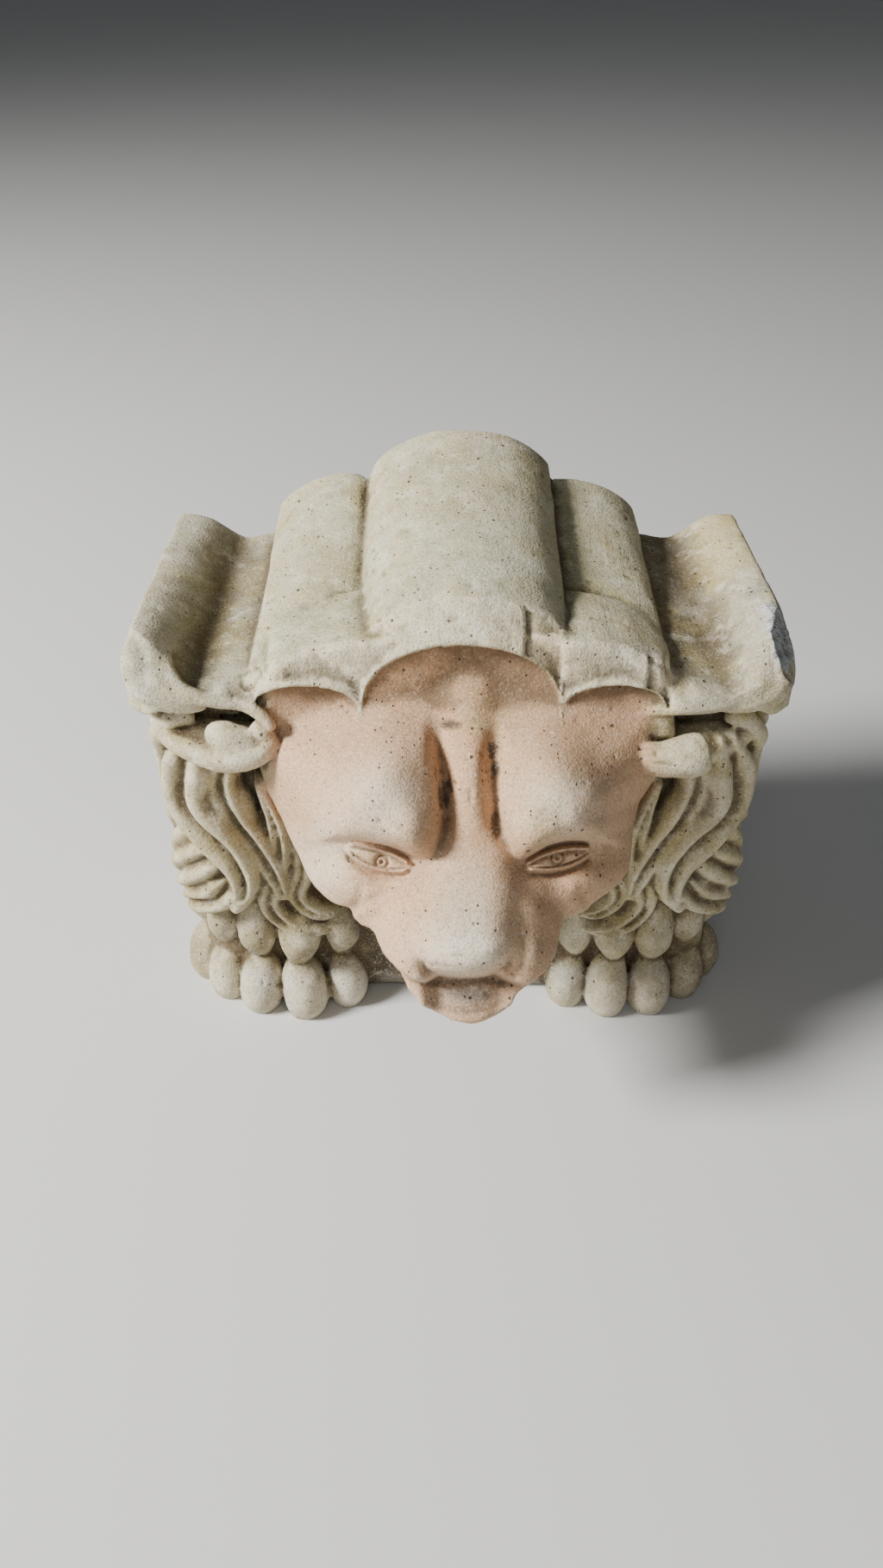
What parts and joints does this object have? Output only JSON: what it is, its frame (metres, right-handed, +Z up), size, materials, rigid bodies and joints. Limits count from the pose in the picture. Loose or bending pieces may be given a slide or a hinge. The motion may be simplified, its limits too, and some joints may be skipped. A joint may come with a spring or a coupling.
{
  "type": "stone gargoyle",
  "caption": "Lion-headed stone bracket: a bowed lion's face under a scrolled crown of rolls and wings, with a curled mane and two paws on a flat base.",
  "frame": {"origin": "middle of the bounding box on the underside, where the stone rests", "axes": "+X to the lion's left, which is the viewer's right; the face looks along -Y and the flat back faces +Y; +Z up"},
  "size_m": [0.1394, 0.1099, 0.1249],
  "materials": {
    "weathered_stone": "matt, sandy and pitted"
  },
  "bodies": {
    "root": {"lion_gargoyle": "weathered_stone"}
  },
  "joints": []
}
